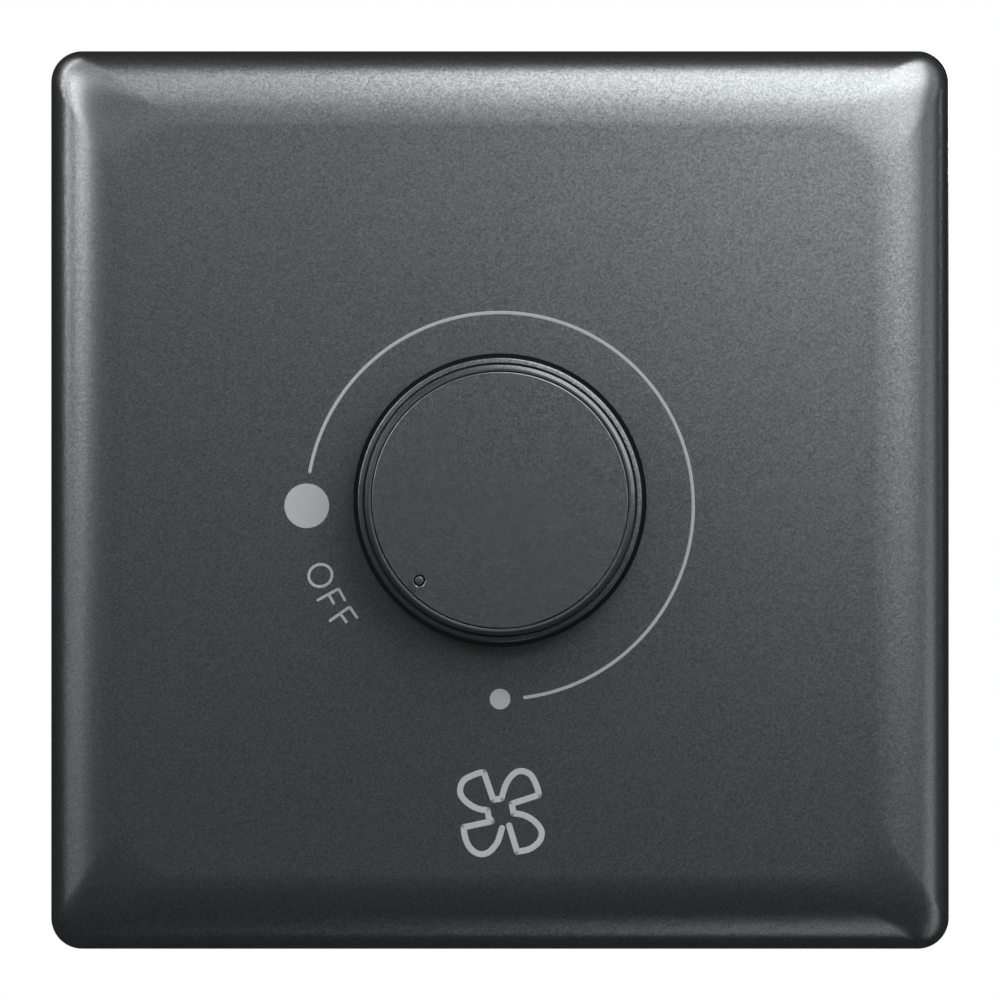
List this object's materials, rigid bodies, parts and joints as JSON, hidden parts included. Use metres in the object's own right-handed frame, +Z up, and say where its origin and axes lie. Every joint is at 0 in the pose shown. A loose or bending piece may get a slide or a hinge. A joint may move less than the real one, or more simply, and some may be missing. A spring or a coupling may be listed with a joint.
{
  "type": "fan speed control switch",
  "caption": "Square wall plate with a low round knob that turns a fan speed control in the module behind it.",
  "frame": {"origin": "on the knob's axis, in the plane of the wall that the plate stands on, halfway between the two wall fixing slots", "axes": "+Y points into the wall, +Z is up and +X is to the right as seen from the front"},
  "size_m": [0.087, 0.0439, 0.087],
  "materials": {
    "cover": "satin",
    "knob": "satin",
    "knob_trim": "gloss",
    "pointer_metal": "polished",
    "frame_plastic": "matte",
    "housing": "matte",
    "zinc_steel": "satin",
    "nickel_steel": "polished",
    "spring_steel": "satin",
    "control_steel": "satin",
    "heat_sink_sheet": "satin",
    "shaft_aluminium": "satin",
    "black_epoxy": "matte",
    "pad_silicone": "matte",
    "board_laminate": "satin",
    "wafer_laminate": "matte",
    "terminal_brass": "satin",
    "turned_brass": "polished",
    "bronze_strip": "satin",
    "tinned_strip": "satin",
    "enamelled_copper": "gloss",
    "capacitor_yellow": "gloss",
    "capacitor_red": "gloss",
    "ferrite": "matte",
    "fuse_body": "satin",
    "resistor_body": "gloss",
    "diode_glass": "gloss",
    "rotor_plastic": "satin"
  },
  "bodies": {
    "switch": {"front_cover": "cover", "support_frame": "frame_plastic", "housing_lid": "housing", "rear_housing": "housing", "housing_screws": "zinc_steel", "heat_sink": "heat_sink_sheet", "power_switch": "black_epoxy", "power_pad": "pad_silicone", "power_screw": "zinc_steel", "circuit_board": "board_laminate", "board_screws": "zinc_steel", "terminal_clamps": "terminal_brass", "terminal_screws": "nickel_steel", "suppression_capacitor": "capacitor_yellow", "timing_capacitor": "capacitor_red", "choke_core": "ferrite", "choke_winding": "enamelled_copper", "fuse_link": "fuse_body", "resistors": "resistor_body", "trigger_diode": "diode_glass", "control_plate": "control_steel", "control_bush": "turned_brass", "bush_nut": "turned_brass", "bush_washer": "nickel_steel", "track_wafer": "wafer_laminate", "track_terminals": "tinned_strip", "control_case": "control_steel", "switch_base": "wafer_laminate", "switch_blade": "bronze_strip", "fixed_contact": "bronze_strip"},
    "knob": {"knob_barrel": "knob", "knob_ring": "knob_trim", "knob_cap": "knob", "pointer_pin": "pointer_metal", "knob_spring": "spring_steel", "control_shaft": "shaft_aluminium", "shaft_clip": "spring_steel", "wiper_carrier": "rotor_plastic", "wiper_spring": "bronze_strip"}
  },
  "joints": [
    {"name": "knob_turn", "type": "hinge", "parent": "switch", "child": "knob", "pos_m": [0, -0.013, 0], "axis": [0, 1, 0], "range_deg": [0, 315]}
  ]
}
